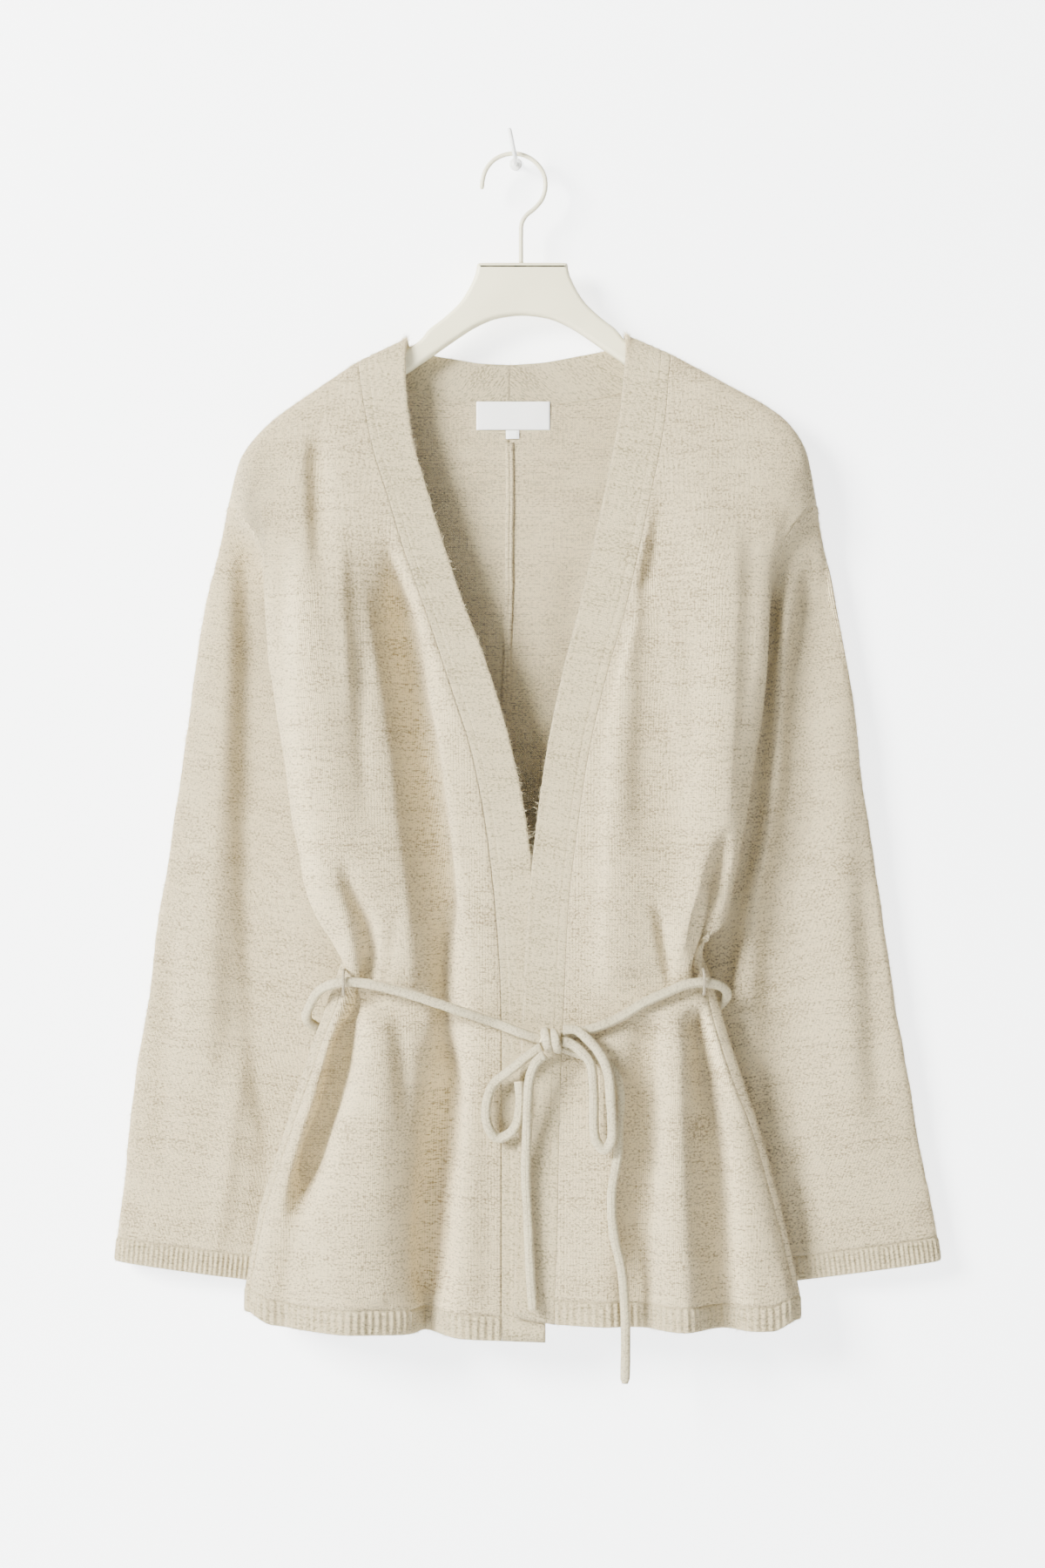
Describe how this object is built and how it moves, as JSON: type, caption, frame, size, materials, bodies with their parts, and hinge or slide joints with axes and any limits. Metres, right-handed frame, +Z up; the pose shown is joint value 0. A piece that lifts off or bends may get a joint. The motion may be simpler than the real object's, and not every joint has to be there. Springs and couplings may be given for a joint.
{
  "type": "wrap cardigan on a hanger",
  "caption": "Long-sleeved knitted wrap cardigan with ribbed bands and a tied cord belt, hung flat on a moulded hanger from a wall hook.",
  "frame": {"origin": "root of the wall hook, at the centre of its round base on the wall plane", "axes": "+Z up, +Y into the wall, +X to the right of a viewer who faces the cardigan's front"},
  "size_m": [0.5854, 0.0719, 0.8716],
  "materials": {
    "wool_knit": "soft heathered oatmeal stockinette with a hairy halo",
    "rib_knit": "ribbed oatmeal knit",
    "tie_cord": "knitted tube cord",
    "thread": "twisted thread",
    "label_tape": "smooth woven tape",
    "hanger_plastic": "smooth cream moulding",
    "hanger_wire": "cream painted wire",
    "hook_paint": "white paint"
  },
  "bodies": {
    "root": {"front_left": "wool_knit", "front_right": "wool_knit", "back_left": "wool_knit", "back_right": "wool_knit", "back_seam_ridge": "wool_knit", "sleeve_left_front": "wool_knit", "sleeve_left_back": "wool_knit", "sleeve_right_front": "wool_knit", "sleeve_right_back": "wool_knit", "hem_front_left": "rib_knit", "hem_front_right": "rib_knit", "hem_back_left": "rib_knit", "hem_back_right": "rib_knit", "cuff_left": "rib_knit", "cuff_right": "rib_knit", "band_left": "rib_knit", "band_right": "rib_knit", "belt_waist": "tie_cord", "belt_knot": "tie_cord", "bow_loop_left": "tie_cord", "bow_loop_right": "tie_cord", "belt_tail_left": "tie_cord", "belt_tail_right": "tie_cord", "belt_loop_left": "thread", "belt_loop_right": "thread", "neck_label": "label_tape", "size_tab": "label_tape", "hanger_body": "hanger_plastic", "hanger_hook": "hanger_wire", "wall_hook": "hook_paint"}
  },
  "joints": []
}
